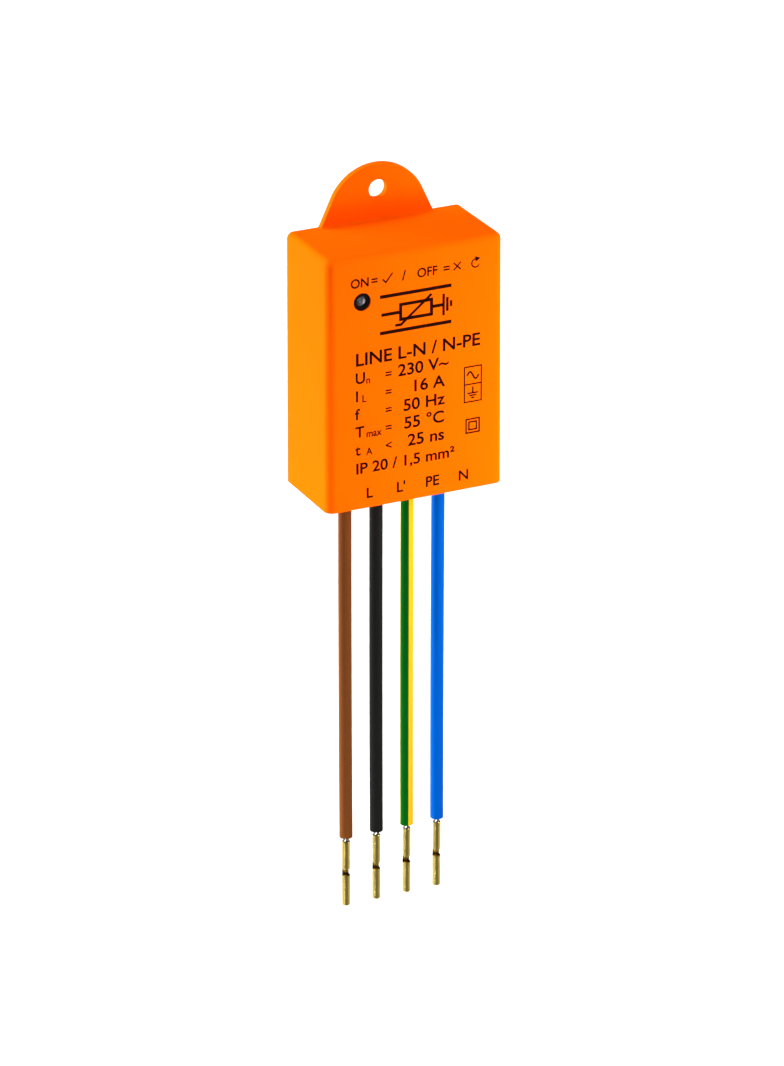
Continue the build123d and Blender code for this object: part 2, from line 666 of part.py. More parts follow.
spring_from = SPRING_WALL_X + SPRING_WIRE / 2 + SPRING_GAP[0]
seat_x = PIVOT[0] - ARM_W / 2 - SPRING_SEAT_OUT - SPRING_SEAT[0] / 2
spring_length = seat_x - SPRING_WIRE / 2 - SPRING_GAP[1] - spring_from
with BuildPart() as disconnector_spring:
    coil_start = (spring_from, (ARM_BACK + ARM_FRONT) / 2, SPRING_Z)
    coil_r = (SPRING_D - SPRING_WIRE) / 2
    with BuildLine() as coil:
        Helix(spring_length / SPRING_TURNS, spring_length, coil_r, center=coil_start, direction=(1, 0, 0))
    with BuildSketch(Plane(origin=coil.line @ 0, z_dir=coil.line % 0)):
        Circle(SPRING_WIRE / 2)
    sweep(path=coil.line, is_frenet=True)
save(disconnector_spring.part, "disconnector_spring")

# ---------------------------------------------------------------- lead clamp
clamp_mid = sum(CLAMP_Z) / 2
clamp_front = BOARD_FRONT - CLAMP_T
with BuildPart() as lead_clamp:
    with BuildSketch(Plane.XY.offset(CLAMP_Z[0])):
        with Locations((0, BOARD_FRONT - CLAMP_T / 2)):
            RectangleRounded(CLAMP_W, CLAMP_T, CLAMP_ROUND)
        for lead_x in LEAD_X:
            with Locations((lead_x, LEAD_Y)):
                Circle(LEAD_OD / 2 + CLAMP_GRIP, mode=Mode.SUBTRACT)
            with Locations((lead_x, (LEAD_Y + BOARD_FRONT) / 2)):
                Rectangle(LEAD_OD + 2 * CLAMP_GRIP, BOARD_FRONT - LEAD_Y, mode=Mode.SUBTRACT)
    extrude(amount=CLAMP_Z[1] - CLAMP_Z[0])
    with BuildSketch(Plane.XZ.offset(-BOARD_FRONT)):
        with Locations((-CLAMP_SCREW_X, clamp_mid), (CLAMP_SCREW_X, clamp_mid)):
            Circle(CLAMP_SCREW_D / 2 + SCREW_PLAY)
    extrude(amount=CLAMP_T, mode=Mode.SUBTRACT)
save(lead_clamp.part, "lead_clamp")

screw_back = BOARD_BACK + NUT_T + SCREW_PAST_NUT
with BuildPart() as clamp_screws:
    for screw_x in (-CLAMP_SCREW_X, CLAMP_SCREW_X):
        with BuildSketch(Plane.XZ.offset(-screw_back)):
            with Locations((screw_x, clamp_mid)):
                Circle(CLAMP_SCREW_D / 2)
        extrude(amount=screw_back - clamp_front)
        with BuildSketch(Plane.XZ.offset(-clamp_front)):
            with Locations((screw_x, clamp_mid)):
                Circle(SCREW_HEAD_R)
        extrude(amount=SCREW_HEAD_H)
    heads = clamp_screws.faces().group_by(Axis.Y)[0]
    fillet(heads.edges(), SCREW_HEAD_ROUND)
    with BuildSketch(Plane.XZ.offset(-clamp_front + SCREW_HEAD_H)):
        for screw_x in (-CLAMP_SCREW_X, CLAMP_SCREW_X):
            with Locations((screw_x, clamp_mid)):
                Rectangle(CROSS_LENGTH, CROSS_WIDTH)
                Rectangle(CROSS_WIDTH, CROSS_LENGTH)
    extrude(amount=-CROSS_DEPTH, mode=Mode.SUBTRACT)
save(clamp_screws.part, "clamp_screws")

with BuildPart() as clamp_nuts:
    with BuildSketch(Plane.XZ.offset(-(BOARD_BACK + NUT_T))):
        with Locations((-CLAMP_SCREW_X, clamp_mid), (CLAMP_SCREW_X, clamp_mid)):
            RegularPolygon(NUT_AF / 2, 6, major_radius=False)
            Circle(CLAMP_SCREW_D / 2 + NUT_PLAY, mode=Mode.SUBTRACT)
    extrude(amount=NUT_T)
save(clamp_nuts.part, "clamp_nuts")

# ---------------------------------------------------------------- leads
# The route of a lead below the cover, from the middle of its hole
CORD_POINTS = (
    (0, 0, COVER_BOTTOM),
    (-LEAD_BOW, 0, COVER_BOTTOM - LEAD_LENGTH / 2),
    (0, 0, COVER_BOTTOM - LEAD_LENGTH),
)
cord_end = COVER_BOTTOM - LEAD_LENGTH
pin_top = cord_end - STRAND_GAP


def bend_radii(points):
    """The radius of the arc at each corner of a lead's route."""
    radii = []
    for before, corner, after in zip(points, points[1:], points[2:]):
        run_in = Vector(*corner) - Vector(*before)
        run_out = Vector(*after) - Vector(*corner)
        turn = radians(run_in.get_angle(run_out))
        radii.append(BEND_SHARE * min(run_in.length, run_out.length) / tan(turn / 2))
    return radii


def lead_cord(x):
    """The free insulated lead below the cover."""
    points = [(x + px, LEAD_Y + py, pz) for px, py, pz in CORD_POINTS]
    radii = bend_radii(points)
    print("lead at x", round(x, 2), "bend radii", [round(r) for r in radii])
    with BuildPart() as cord:
        with BuildLine() as path:
            FilletPolyline(*points, radius=radii)
        with BuildSketch(Plane(origin=points[0], z_dir=path.line % 0)):
            Circle(LEAD_OD / 2)
        sweep(path=path.line)
    section = pi * (LEAD_OD / 2) ** 2
    run = sum(edge.length for edge in path.edges())
    print("  volume", round(cord.part.volume, 2), "section x length", round(section * run, 2))
    return cord.part


def lead_tail(x):
    """The insulated end inside the box, from the cover up to the stripped conductor."""
    with BuildPart() as tail:
        with BuildSketch(Plane.XY.offset(COVER_BOTTOM)):
            with Locations((x, LEAD_Y)):
                Circle(LEAD_OD / 2)
        extrude(amount=TAIL_TOP - COVER_BOTTOM)
    return tail.part


strand_length = STRAND_GAP + PIN_BORE_DEPTH - BORE_SPARE
with BuildPart() as twisted_strand:
    with BuildLine() as lay:
        Helix(STRAND_LAY, strand_length - 2 * STRAND_END, STRAND_D + STRAND_FIT)
    with BuildSketch(Plane(origin=lay.line @ 0, z_dir=lay.line % 0)):
        Circle((STRAND_D - STRAND_FIT) / 2)
    sweep(path=lay.line, is_frenet=True)


def strand_bundle(x):
    """One straight strand with six twisted round it, from the insulation into the pin."""
    with BuildPart() as bundle:
        with Locations((x, LEAD_Y, cord_end - strand_length)):
            Cylinder(STRAND_D / 2, strand_length, align=(Align.CENTER, Align.CENTER, Align.MIN))
        with Locations((x, LEAD_Y, cord_end - strand_length + STRAND_END)):
            with PolarLocations(0, 6):
                add(twisted_strand.part)
    return bundle.part


def contact_pin(x):
    """A round pin: a bored upper half for the strands, with an inspection window, and a solid tip."""
    with BuildPart() as pin:
        barrel_length = WINDOW_TOP + WINDOW_H
        with BuildSketch(Plane.XY.offset(pin_top - PIN_LENGTH)):
            with Locations((x, LEAD_Y)):
                Circle(PIN_D / 2)
        extrude(amount=PIN_LENGTH - barrel_length)
        with BuildSketch(Plane.XY.offset(pin_top - barrel_length)):
            with Locations((x, LEAD_Y)):
                Circle(BARREL_D / 2)
        extrude(amount=barrel_length)
        chamfer(pin.edges().sort_by(Axis.Z)[0], PIN_TIP_CHAMFER)
        chamfer(pin.edges().sort_by(Axis.Z)[-1], PIN_MOUTH_CHAMFER)
        with BuildSketch(Plane.XY.offset(pin_top)):
            with Locations((x, LEAD_Y)):
                Circle(PIN_BORE_D / 2)
        extrude(amount=-PIN_BORE_DEPTH, mode=Mode.SUBTRACT)
        # the window faces the front and leaves only the back of the wall
        with BuildSketch(Plane.XY.offset(pin_top - WINDOW_TOP)):
            with Locations((x, LEAD_Y + WINDOW_BACK)):
                Rectangle(2 * PIN_D, PIN_D, align=(Align.CENTER, Align.MAX))
        extrude(amount=-WINDOW_H, mode=Mode.SUBTRACT)
    return pin.part


conductors = []
for colour, lead_x in zip(LEADS, LEAD_X):
    save(lead_cord(lead_x), f"lead_{colour}")
    save(lead_tail(lead_x), f"lead_tail_{colour}")
    save(strand_bundle(lead_x), f"strands_{colour}")
    save(contact_pin(lead_x), f"pin_{colour}")
    conductor_route = (
        (lead_x, LEAD_Y, TAIL_TOP),
        (lead_x, LEAD_Y, SOLDER_HOLE_Z),
        (lead_x, BOARD_BACK + WIRE_STUB, SOLDER_HOLE_Z),
    )
    conductors.append(bent_wire(conductor_route, CONDUCTOR_BEND_R, CONDUCTOR_D))
save(Compound(children=conductors), "lead_conductors")
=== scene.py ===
import json
from math import cos, hypot, pi, radians, sin

import bmesh
import bpy
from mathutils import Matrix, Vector


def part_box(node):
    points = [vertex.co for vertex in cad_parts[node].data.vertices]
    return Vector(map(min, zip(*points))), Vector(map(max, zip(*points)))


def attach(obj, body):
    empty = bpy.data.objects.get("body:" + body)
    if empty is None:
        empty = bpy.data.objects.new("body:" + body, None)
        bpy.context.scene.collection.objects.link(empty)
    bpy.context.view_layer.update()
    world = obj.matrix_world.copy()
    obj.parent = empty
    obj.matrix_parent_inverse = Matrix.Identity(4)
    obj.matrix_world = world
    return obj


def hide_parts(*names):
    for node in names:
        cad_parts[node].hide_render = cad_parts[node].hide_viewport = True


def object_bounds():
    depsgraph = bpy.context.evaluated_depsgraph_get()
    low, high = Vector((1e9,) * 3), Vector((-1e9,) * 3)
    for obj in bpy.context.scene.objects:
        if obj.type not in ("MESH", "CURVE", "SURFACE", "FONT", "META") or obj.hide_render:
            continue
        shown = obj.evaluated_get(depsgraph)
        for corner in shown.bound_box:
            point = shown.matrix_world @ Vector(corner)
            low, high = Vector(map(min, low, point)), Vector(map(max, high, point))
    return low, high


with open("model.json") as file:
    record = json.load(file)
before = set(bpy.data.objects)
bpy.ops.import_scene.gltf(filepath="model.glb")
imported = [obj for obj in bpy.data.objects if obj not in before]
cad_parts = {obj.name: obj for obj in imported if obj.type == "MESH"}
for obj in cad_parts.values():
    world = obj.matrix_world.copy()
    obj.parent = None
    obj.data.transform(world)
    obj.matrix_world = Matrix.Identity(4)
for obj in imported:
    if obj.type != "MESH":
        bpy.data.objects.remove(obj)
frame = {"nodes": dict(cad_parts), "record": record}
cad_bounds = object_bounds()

MM = 0.001
NODES = frame["nodes"]
SCENE = bpy.context.scene
LEAD_COLOURS = ("brown", "black", "green_yellow", "blue")    # from the left of the front to its right

# ------------------------------------------------------------------ camera
CAMERA_AZIMUTH = radians(-25.63)     # on the left of the object, which faces -Y
CAMERA_ELEVATION = radians(23.28)
CAMERA_DISTANCE = 1.1204
CAMERA_AIM = Vector((-8.0, -22.1, -61.7)) * MM
CAMERA_SENSOR = 36                   # height in millimetres
CAMERA_LENS = 173.9
CAMERA_SHIFT = (0.006, -0.040)
CAMERA_NEAREST = 0.01


def make_camera():
    """The camera at the photograph's viewing angle."""
    data = bpy.data.cameras.new("camera")
    data.sensor_fit = "VERTICAL"
    data.sensor_height = CAMERA_SENSOR
    data.lens = CAMERA_LENS
    data.shift_x, data.shift_y = CAMERA_SHIFT
    data.clip_start = CAMERA_NEAREST
    camera = bpy.data.objects.new("camera", data)
    SCENE.collection.objects.link(camera)
    level = cos(CAMERA_ELEVATION)
    back = Vector((
        sin(CAMERA_AZIMUTH) * level,
        -cos(CAMERA_AZIMUTH) * level,
        sin(CAMERA_ELEVATION),
    ))
    camera.location = CAMERA_AIM + back * CAMERA_DISTANCE
    camera.rotation_euler = back.to_track_quat("Z", "Y").to_euler()
    SCENE.camera = camera


# ------------------------------------------------------------------ shader helpers
NOISE_RANGE = (0.3, 0.7)             # nearly all values of a noise lie between these
MIX_FACTOR, MIX_FIRST, MIX_SECOND = 0, 6, 7      # inputs of a Mix node that mixes colours
MIX_RESULT = 2


def node(tree, kind, sockets=None, **settings):
    """Add a shader node. sockets maps an input to a plain value or to another node's output."""
    made = tree.nodes.new(kind)
    for key, value in settings.items():
        setattr(made, key, value)
    for key, value in (sockets or {}).items():
        if isinstance(value, bpy.types.NodeSocket):
            tree.links.new(value, made.inputs[key])
        else:
            made.inputs[key].default_value = value
    return made


def compute(tree, operation, first, second=None):
    """The output of one Math node."""
    sockets = {0: first}
    if second is not None:
        sockets[1] = second
    return node(tree, "ShaderNodeMath", sockets, operation=operation).outputs[0]


def place(tree, stretch=(1, 1, 1)):
    """The point on the object in its own frame, in metres, stretched along each axis."""
    coordinates = node(tree, "ShaderNodeTexCoord").outputs["Object"]
    scaled = node(tree, "ShaderNodeMapping", {"Vector": coordinates, "Scale": stretch})
    return scaled.outputs[0]


def along_axes(tree):
    """The point's x, y and z in the object's own frame, as three outputs."""
    coordinates = node(tree, "ShaderNodeTexCoord").outputs["Object"]
    return node(tree, "ShaderNodeSeparateXYZ", {0: coordinates}).outputs


def noise(tree, vector, size, detail=2.0, roughness=0.5):
    """Noise whose blotches are about size metres across."""
    sockets = {"Vector": vector, "Scale": 1 / size, "Detail": detail, "Roughness": roughness}
    return node(tree, "ShaderNodeTexNoise", sockets).outputs[0]


def remap(tree, value, from_range, to_range):
    """value between the ends of from_range, taken to between the ends of to_range."""
    sockets = {0: value, 1: from_range[0], 2: from_range[1], 3: to_range[0], 4: to_range[1]}
    return node(tree, "ShaderNodeMapRange", sockets).outputs[0]


def mix(tree, factor, first, second):
    """Two colours mixed by factor. Each is a colour or a node's output."""
    sockets = {MIX_FACTOR: factor, MIX_FIRST: first, MIX_SECOND: second}
    return node(tree, "ShaderNodeMix", sockets, data_type="RGBA").outputs[MIX_RESULT]


def rgb(red, green, blue):
    """A colour given in 0 to 255 display values, as the linear colour that a shader takes."""
    def linear(value):
        value /= 255
        return value / 12.92 if value <= 0.04045 else ((value + 0.055) / 1.055) ** 2.4
    return (linear(red), linear(green), linear(blue), 1.0)


def shade(colour, amount):
    """A colour made lighter or darker by a factor."""
    return (colour[0] * amount, colour[1] * amount, colour[2] * amount, 1.0)


def hue(colour):
    """The colour at full brightness, for tinted highlights."""
    strongest = max(colour[:3])
    return (colour[0] / strongest, colour[1] / strongest, colour[2] / strongest, 1)


def finish(
    name, colour, roughness=0.5, spread=0.06, patch=0.004, mottle=0.06,
    grain=0.0003, depth=0.000004, stretch=(1, 1, 1), **shader
):
    """A finished material: mottled colour, uneven gloss and a fine surface grain.

    patch and grain are the sizes of the mottling and of the grain, and depth is the grain's
    height, in metres.
    """
    material = bpy.data.materials.new(name)
    material.use_nodes = True
    tree = material.node_tree
    surface = tree.nodes["Principled BSDF"]
    point = place(tree, stretch)
    blotch = noise(tree, point, patch, 3.0)
    factor = remap(tree, blotch, NOISE_RANGE, (0.0, 1.0))
    paint = mix(tree, factor, shade(colour, 1 - mottle), shade(colour, 1 + mottle))
    tree.links.new(paint, surface.inputs["Base Color"])
    uneven = noise(tree, point, patch / 3)
    gloss = remap(tree, uneven, NOISE_RANGE, (roughness - spread, roughness + spread))
    tree.links.new(gloss, surface.inputs["Roughness"])
    bump = node(tree, "ShaderNodeBump", {
        "Height": noise(tree, point, grain, 3.0), "Distance": depth, "Strength": 1.0,
    })
    tree.links.new(bump.outputs[0], surface.inputs["Normal"])
    for socket, value in shader.items():
        surface.inputs[socket.replace("_", " ")].default_value = value
    return material


def base_colour(material):
    """The material's tree, its surface shader and the output that colours it."""
    tree = material.node_tree
    surface = tree.nodes["Principled BSDF"]
    return tree, surface, surface.inputs["Base Color"].links[0].from_socket


def metal(name, colour, roughness=0.3, stretch=(1, 1, 1), grain=0.00015, depth=0.000002, mottle=0.08):
    """Bare or plated metal."""
    return finish(
        name, colour, roughness=roughness, patch=0.0015, mottle=mottle, grain=grain, depth=depth,
        stretch=stretch, Metallic=1.0,
    )


# ------------------------------------------------------------------ materials
# Painted shade: metal is darkened toward this colour where it is closed in, in bores, gaps and corners
PAINTED_SHADE = (0.03, 0.014, 0.004, 1)
PAINTED_SHADE_RANGE = (0.45, 0.9)          # open air round the point, from wholly in painted shade to bright
PAINTED_SHADE_SAMPLES = 8
WIRE_PAINTED_SHADE_REACH = 0.0004
PIN_PAINTED_SHADE_REACH = 0.0012
TURNED_EDGE_TINT = (0.30, 0.20, 0.05, 1)
TURNED_STRETCH = 0.7                 # how much longer than wide the highlights are, from 0 to 1
TURNED_ALONG = 0.25                  # a quarter turn, which draws them out along the pin
STRIPE_START = radians(10)           # turns the green lead's stripes about its axis
STRIPE_SOFTNESS = 0.02
BAND_SOFTNESS = 0.00005
TRACE_LENGTH = 0.01524
TRACE_PITCH = 0.00508
TRACE_WIDTH = 0.0004
RING_COLOURS = (rgb(90, 50, 20), rgb(20, 20, 20), rgb(220, 130, 30), rgb(190, 150, 60))
RING_WIDTH = 0.07                    # widths and places are parts of a resistor's length
RING_PITCH = 0.15
FIRST_RING = 0.24
DIODE_BAND = (0.0013, 0.0006)        # from the diode's top end


def housing_material():
    """Orange moulded plastic with a fine spark-eroded texture."""
    return finish(
        "housing_orange", (0.98, 0.112, 0.0003, 1), roughness=0.65, patch=0.012, mottle=0.02,
        grain=0.00022, depth=0.000004, Specular_IOR_Level=0.002, Specular_Tint=(1, 0.35, 0.02, 1),
    )


def insulation(name, colour):
    """Extruded PVC: satin, with faint drawing lines along the lead."""
    return finish(
        name, colour, roughness=0.5, patch=0.003, mottle=0.06, grain=0.00018, depth=0.000003,
        stretch=(1, 1, 0.06), Specular_IOR_Level=0.01, Specular_Tint=hue(colour),
    )


def striped_insulation(name, green, yellow, axis):
    """Green PVC with two straight yellow stripes on opposite sides of the lead's axis."""
    material = insulation(name, green)
    tree, surface, ground = base_colour(material)
    point = along_axes(tree)
    off_x = compute(tree, "SUBTRACT", point[0], axis.x)
    off_y = compute(tree, "SUBTRACT", point[1], axis.y)
    angle = compute(tree, "ARCTAN2", off_x, compute(tree, "MULTIPLY", off_y, -1.0))
    turned_angle = compute(tree, "ADD", angle, STRIPE_START)
    wave = compute(tree, "SINE", compute(tree, "MULTIPLY", turned_angle, 2.0))
    inside = remap(tree, wave, (-STRIPE_SOFTNESS, STRIPE_SOFTNESS), (0.0, 1.0))
    drawn = noise(tree, place(tree, (1, 1, 0.1)), 0.002)
    wear = remap(tree, drawn, NOISE_RANGE, (0.92, 1.0))
    stripe = mix(tree, wear, shade(yellow, 0.8), yellow)
    tree.links.new(mix(tree, inside, ground, stripe), surface.inputs["Base Color"])
    return material


def with_painted_shade(material, reach):
    """Painted shade: the metal's colour darkened in bores, gaps and corners, where another surface is
    within reach.
    """
    tree, surface, ground = base_colour(material)
    occlusion = node(tree, "ShaderNodeAmbientOcclusion", {"Distance": reach}, samples=PAINTED_SHADE_SAMPLES)
    depth = remap(tree, occlusion.outputs[1], PAINTED_SHADE_RANGE, (0.0, 1.0))
    tree.links.new(mix(tree, depth, PAINTED_SHADE, ground), surface.inputs["Base Color"])
    return material


def turned(material):
    """Fine lines cut round an upright pin on a lathe, which draw its highlights out along it, and
    painted shade in its bore and corners.
    """
    tree = material.node_tree
    surface = tree.nodes["Principled BSDF"]
    surface.inputs["Anisotropic"].default_value = TURNED_STRETCH
    surface.inputs["Anisotropic Rotation"].default_value = TURNED_ALONG
    surface.inputs["Specular Tint"].default_value = TURNED_EDGE_TINT
    around = node(tree, "ShaderNodeTangent", direction_type="RADIAL", axis="Z")
    tree.links.new(around.outputs[0], surface.inputs["Tangent"])
    # painted shade in the pin's bore, window and corners
    return with_painted_shade(material, PIN_PAINTED_SHADE_REACH)


def banded(material, bands):
    """Paint rings round an upright piece: each band is (from, to, colour), in metres along z."""
    tree, surface, ground = base_colour(material)
    height = along_axes(tree)[2]
    for start, end, colour in bands:
        middle = (start + end) / 2
        half = (end - start) / 2
        away = compute(tree, "ABSOLUTE", compute(tree, "SUBTRACT", height, middle))
        inside = remap(tree, away, (half - BAND_SOFTNESS, half + BAND_SOFTNESS), (1.0, 0.0))
        ground = mix(tree, inside, ground, colour)
    tree.links.new(ground, surface.inputs["Base Color"])
    return material


def resistor_material():
    """Lacquered resistors with four coloured rings each."""
    low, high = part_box("led_resistors")
    length = high.z - low.z
    rings = []
    for i, colour in enumerate(RING_COLOURS):
        start = low.z + length * (FIRST_RING + RING_PITCH * i)
        rings.append((start, start + RING_WIDTH * length, colour))
    return banded(finish("resistor_lacquer", rgb(112, 160, 178), roughness=0.3), rings)


def diode_material():
    """A black diode with a pale ring at its cathode."""
    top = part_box("rectifier_diode")[1].z
    band = (top - DIODE_BAND[0], top - DIODE_BAND[1], rgb(190, 190, 190))
    return banded(finish("diode_black", rgb(24, 24, 26), roughness=0.35), [band])


def board_material():
    """Green solder mask over woven glass, with paler copper traces under it."""
    material = finish(
        "board_green", rgb(18, 92, 48), roughness=0.35, mottle=0.1, patch=0.006, grain=0.0004,
    )
    tree, surface, ground = base_colour(material)
    upright = node(tree, "ShaderNodeMapping", {
        "Vector": node(tree, "ShaderNodeTexCoord").outputs["Object"],
        "Rotation": (pi / 2, 0, 0),
    })
    bricks = node(tree, "ShaderNodeTexBrick", {
        "Vector": upright.outputs[0],
        "Color1": (0, 0, 0, 1), "Color2": (0, 0, 0, 1), "Mortar": (1, 1, 1, 1), "Scale": 1.0,
        "Brick Width": TRACE_LENGTH, "Row Height": TRACE_PITCH, "Mortar Size": TRACE_WIDTH,
    })
    traces = mix(tree, bricks.outputs[1], ground, rgb(26, 106, 58))
    tree.links.new(traces, surface.inputs["Base Color"])
    return material


def clear_epoxy():
    """The smoky translucent body of the indicator."""
    return finish(
        "led_clear", (0.075, 0.075, 0.085, 1), roughness=0.2, spread=0.03, mottle=0.04,
        depth=0.000001, Transmission_Weight=0.25, IOR=1.5, Specular_IOR_Level=0.3,
    )


def tinned_wire():
    """Tinned copper strands, with painted shade in the gaps between them."""
    bright = metal("tinned_wire", rgb(142, 140, 136), roughness=0.3, stretch=(1, 1, 0.2))
    # painted shade between the strands
    return with_painted_shade(bright, WIRE_PAINTED_SHADE_REACH)


def contact_brass():
    """Turned brass pins, with painted shade in their bores and corners."""
    return turned(metal(
        "turned_brass", (0.68, 0.52, 0.150, 1), roughness=0.17, stretch=(0.15, 0.15, 1),
        grain=0.00012, depth=0.0000015, mottle=0.05,
    ))


def lead_axis(colour):
    """The vertical axis of a lead, at the height of the origin, from the pin at its end."""
    low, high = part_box(f"pin_{colour}")
    return Vector(((low.x + high.x) / 2, (low.y + high.y) / 2, 0))


def make_materials():
    """One material for each slot of the record."""
    return {
        "housing": housing_material(),
        "board": board_material(),
        "solder": metal(
            "tin_solder", rgb(205, 206, 208), roughness=0.22, grain=0.0004, depth=0.00001,
        ),
        "tinned_wire": tinned_wire(),
        "led_lens": clear_epoxy(),
        "led_frame": metal("lead_frame", rgb(200, 200, 205), roughness=0.2),
        # a guessed black holder round the lamp, whose near-black colour also paints the shade in the
        # lamp's hole
        "spacer": finish(
            "spacer_black_painted_shade", (0.006, 0.003, 0.002, 1), roughness=0.6, Specular_IOR_Level=0.02,
        ),
        "resistor": resistor_material(),
        "diode": diode_material(),
        "varistor": finish(
            "varistor_epoxy", rgb(25, 70, 150), roughness=0.28, patch=0.003, grain=0.0012,
            depth=0.00003, mottle=0.1,
        ),
        "ceramic": finish("ceramic_white", rgb(228, 222, 210), roughness=0.4, grain=0.0002),
        "cap_metal": metal("nickel_cap", rgb(190, 188, 182), roughness=0.26, depth=0.0000005),
        "copper": metal("copper_strip", rgb(214, 132, 92), roughness=0.3, stretch=(1, 1, 0.1)),
        "low_melt_solder": metal(
            "low_melt_solder", rgb(170, 170, 175), roughness=0.4, grain=0.0005,
        ),
        "base_plastic": finish("nylon_natural", rgb(222, 214, 190), roughness=0.5, mottle=0.04),
        "arm_plastic": finish("nylon_green", rgb(30, 120, 60), roughness=0.48),
        "pin_steel": metal("bright_steel", rgb(196, 196, 198), roughness=0.22),
        "spring_steel": metal("spring_steel", rgb(150, 150, 154), roughness=0.3),
        "clamp_plastic": finish("nylon_black", rgb(34, 34, 34), roughness=0.5),
        "zinc": metal("zinc_plate", rgb(200, 200, 196), roughness=0.3, mottle=0.15),
        "bare_copper": metal("bare_copper", rgb(205, 120, 80), roughness=0.3, stretch=(1, 1, 0.15)),
        "contact_brass": contact_brass(),
        "insulation_brown": insulation("pvc_brown", (0.132, 0.040, 0.010, 1)),
        "insulation_black": insulation("pvc_black", (0.009, 0.009, 0.0088, 1)),
        "insulation_green_yellow": striped_insulation(
            "pvc_green_yellow", green=(0.0012, 0.074, 0.005, 1), yellow=(0.70, 0.38, 0.006, 1),
            axis=lead_axis("green_yellow"),
        ),
        "insulation_blue": insulation("pvc_blue", (0.0006, 0.070, 0.37, 1)),
    }


def dress_cad_nodes(materials):
    """Give every CAD node the material of its slot."""
    for part in frame["record"]["subparts"]:
        for slot in NODES[part["node"]].material_slots:
            slot.material = materials[part["material_slot"]]


# ------------------------------------------------------------------ leads
LEAD_DIAMETER = 3.0 * MM
LEAD_STEPS = 12              # of its curve, along and round it
LEAD_FACETS = 10
# Each lead's route below the cover, from the axis of its hole, with a slight bow half way down
LEAD_ROUTE = [
    Vector((0, 0, -65.4)) * MM,
    Vector((-0.14, 0, -108.5)) * MM,
    Vector((0, 0, -151.6)) * MM,
]


def make_lead(colour, materials):
    """One free lead: a smooth insulated line from the bottom cover down to its strands and pin."""
    axis = lead_axis(colour)
    curve = bpy.data.curves.new(f"insulation_{colour}", "CURVE")
    curve.dimensions = "3D"
    spline = curve.splines.new("NURBS")
    spline.points.add(len(LEAD_ROUTE) - 1)
    for point, step in zip(spline.points, LEAD_ROUTE):
        point.co = (*(axis + step), 1)
    spline.order_u = 3
    spline.use_endpoint_u = True
    spline.resolution_u = LEAD_STEPS
    curve.bevel_depth = LEAD_DIAMETER / 2
    curve.bevel_resolution = LEAD_FACETS
    curve.use_fill_caps = True
    curve.materials.append(materials[f"insulation_{colour}"])
    lead = bpy.data.objects.new(f"insulation_{colour}", curve)
    SCENE.collection.objects.link(lead)
    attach(lead, "housing")
    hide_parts(f"lead_{colour}")


# ------------------------------------------------------------------ print
INK_PROUD = 0.018 * MM
INK_SUNK = 0.006 * MM
CAPITAL_OF_SIZE = 0.729      # height of a capital in the built-in font, over its size
LETTER_WEIGHT = 0.028        # how far a letter's outline is thickened, over its height
LETTER_RESOLUTION = 6
LOOKS_FORWARD = -0.99        # the most that a forward face's normal may have along y
WELD_DISTANCE = 0.001        # millimetres, as are all the print's sizes below


def front_plane():
    """A point on the housing's flat front and its outward normal, from its largest forward face."""
    low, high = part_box("housing_shell")
    middle = (low.y + high.y) / 2
    faces = [
        face for face in NODES["housing_shell"].data.polygons
        if face.normal.y < LOOKS_FORWARD and face.center.y < middle
    ]
    front = max(faces, key=lambda face: face.area)
    return front.center.copy(), front.normal.copy()


def lettering(words, height, align):
    """The flat mesh of some words in the built-in font, with capitals of this height."""
    curve = bpy.data.curves.new("words", "FONT")
    curve.body = words
    curve.size = height / CAPITAL_OF_SIZE
    curve.align_x = align
    curve.resolution_u = LETTER_RESOLUTION
    curve.offset = LETTER_WEIGHT * height
    holder = bpy.data.objects.new("words", curve)
    SCENE.collection.objects.link(holder)
    bpy.context.view_layer.update()
    shaped = holder.evaluated_get(bpy.context.evaluated_depsgraph_get())
    flat = bpy.data.meshes.new_from_object(shaped)
    bpy.data.objects.remove(holder)
    return flat


